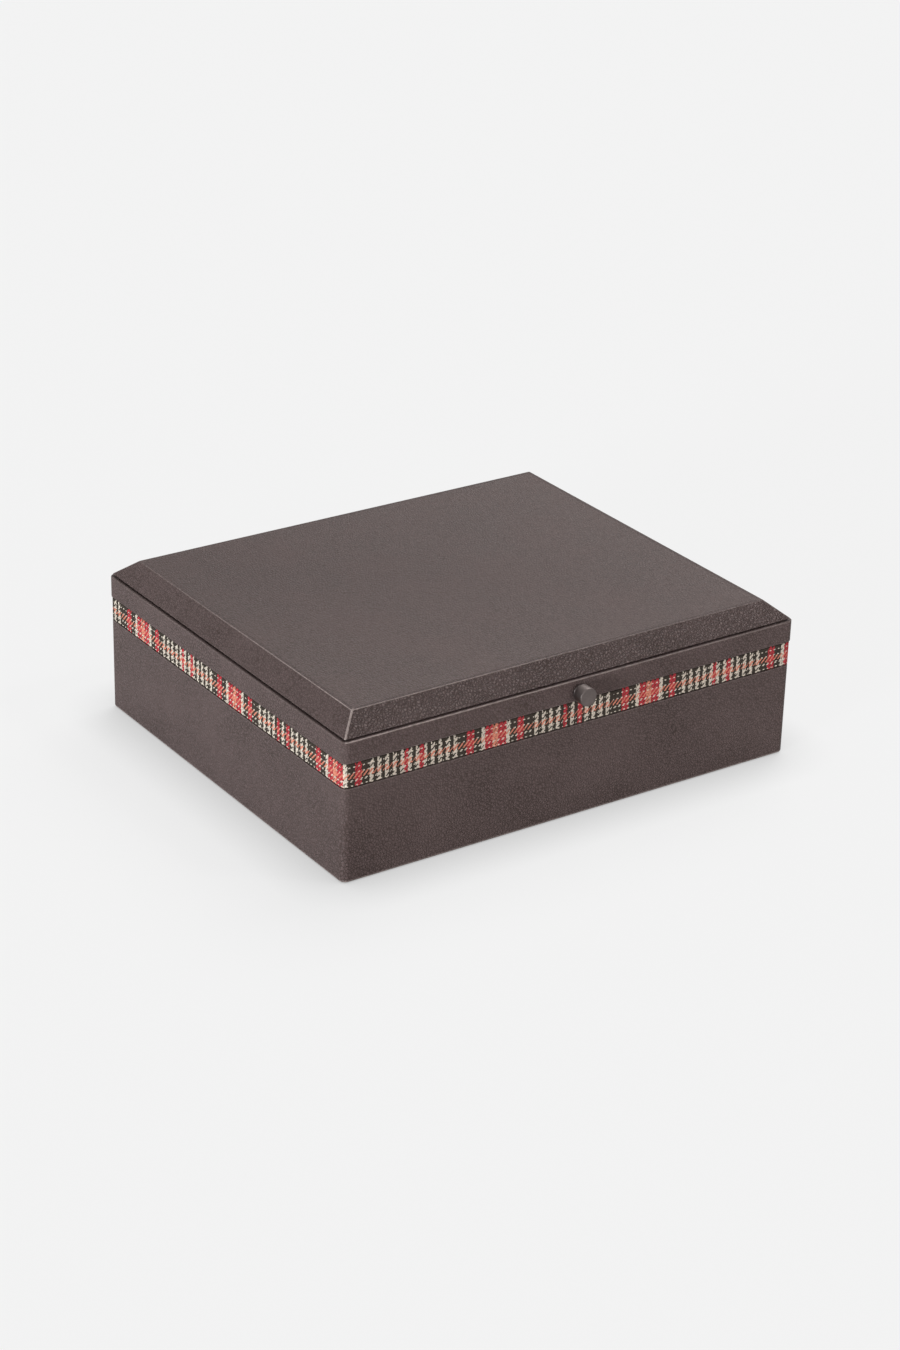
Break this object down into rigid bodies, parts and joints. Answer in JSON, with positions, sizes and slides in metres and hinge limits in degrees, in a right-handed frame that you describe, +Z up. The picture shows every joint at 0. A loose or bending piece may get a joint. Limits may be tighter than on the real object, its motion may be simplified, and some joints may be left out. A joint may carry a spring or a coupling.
{
  "type": "cigar humidor",
  "caption": "Rectangular leather-covered desk humidor with a tweed band, bevelled hinged lid, front pull knob, cedar lining, divider, dial hygrometer and humidifier.",
  "frame": {"origin": "centre of the underside of the base felt, on the surface that the humidor stands on", "axes": "+X along the front to the right, +Y from the front to the hinged back, +Z up"},
  "size_m": [0.26, 0.233, 0.0814],
  "materials": {
    "leather": "matte dark taupe, fine grain",
    "tweed": "wool tweed, check of cream, black, red and orange",
    "felt": "black felt",
    "board": "bare fibreboard",
    "cedar": "unfinished Spanish cedar",
    "brass": "satin brass",
    "gunmetal": "satin gunmetal brown",
    "steel": "plated steel",
    "dial_white": "matte off-white",
    "glass": "clear",
    "black_plastic": "matte black",
    "foam": "open-cell foam"
  },
  "bodies": {
    "case": {"base_felt": "felt", "base_board": "board", "front_board": "board", "back_board": "board", "left_board": "board", "right_board": "board", "case_leather": "leather", "tweed_band": "tweed", "case_rim_trim": "leather", "cedar_floor": "cedar", "cedar_front": "cedar", "cedar_back": "cedar", "cedar_left": "cedar", "cedar_right": "cedar", "hinge_left_case_leaf": "brass", "hinge_left_pin": "brass", "hinge_left_case_screw_1": "brass", "hinge_left_case_screw_2": "brass", "hinge_right_case_leaf": "brass", "hinge_right_pin": "brass", "hinge_right_case_screw_1": "brass", "hinge_right_case_screw_2": "brass"},
    "lid": {"lid_front_rail": "cedar", "lid_back_rail": "cedar", "lid_left_rail": "cedar", "lid_right_rail": "cedar", "lid_rim_leather": "leather", "lid_panel_leather": "leather", "lid_panel_board": "board", "lid_cedar_ceiling": "cedar", "hinge_left_lid_leaf": "brass", "hinge_left_lid_screw_1": "brass", "hinge_left_lid_screw_2": "brass", "hinge_right_lid_leaf": "brass", "hinge_right_lid_screw_1": "brass", "hinge_right_lid_screw_2": "brass", "pull_knob": "gunmetal", "knob_screw": "steel", "hygrometer_cup": "brass", "hygrometer_dial": "dial_white", "hygrometer_lens": "glass", "hygrometer_bezel": "brass", "hygrometer_coil": "steel", "humidifier_plate": "steel", "humidifier_plate_screw_1": "brass", "humidifier_plate_screw_2": "brass"},
    "needle": {"hygrometer_needle": "black_plastic"},
    "humidifier": {"humidifier_tray": "black_plastic", "humidifier_grille": "black_plastic", "humidifier_foam": "foam", "humidifier_magnet_left": "steel", "humidifier_magnet_right": "steel"},
    "divider": {"divider": "cedar"}
  },
  "joints": [
    {"name": "lid_hinge", "type": "hinge", "parent": "case", "child": "lid", "pos_m": [0, 0.1128, 0.06095], "axis": [-1, 0, 0], "range_deg": [0, 95]},
    {"name": "needle_turn", "type": "hinge", "parent": "lid", "child": "needle", "pos_m": [-0.072, 0, 0.0692], "axis": [0, 0, -1], "range_deg": [-81, 189]},
    {"name": "humidifier_pull", "type": "slide", "parent": "lid", "child": "humidifier", "axis": [0, 0, -1], "range_m": [0, 0.006]},
    {"name": "divider_slide", "type": "slide", "parent": "case", "child": "divider", "axis": [1, 0, 0], "range_m": [-0.134, 0.058]}
  ]
}
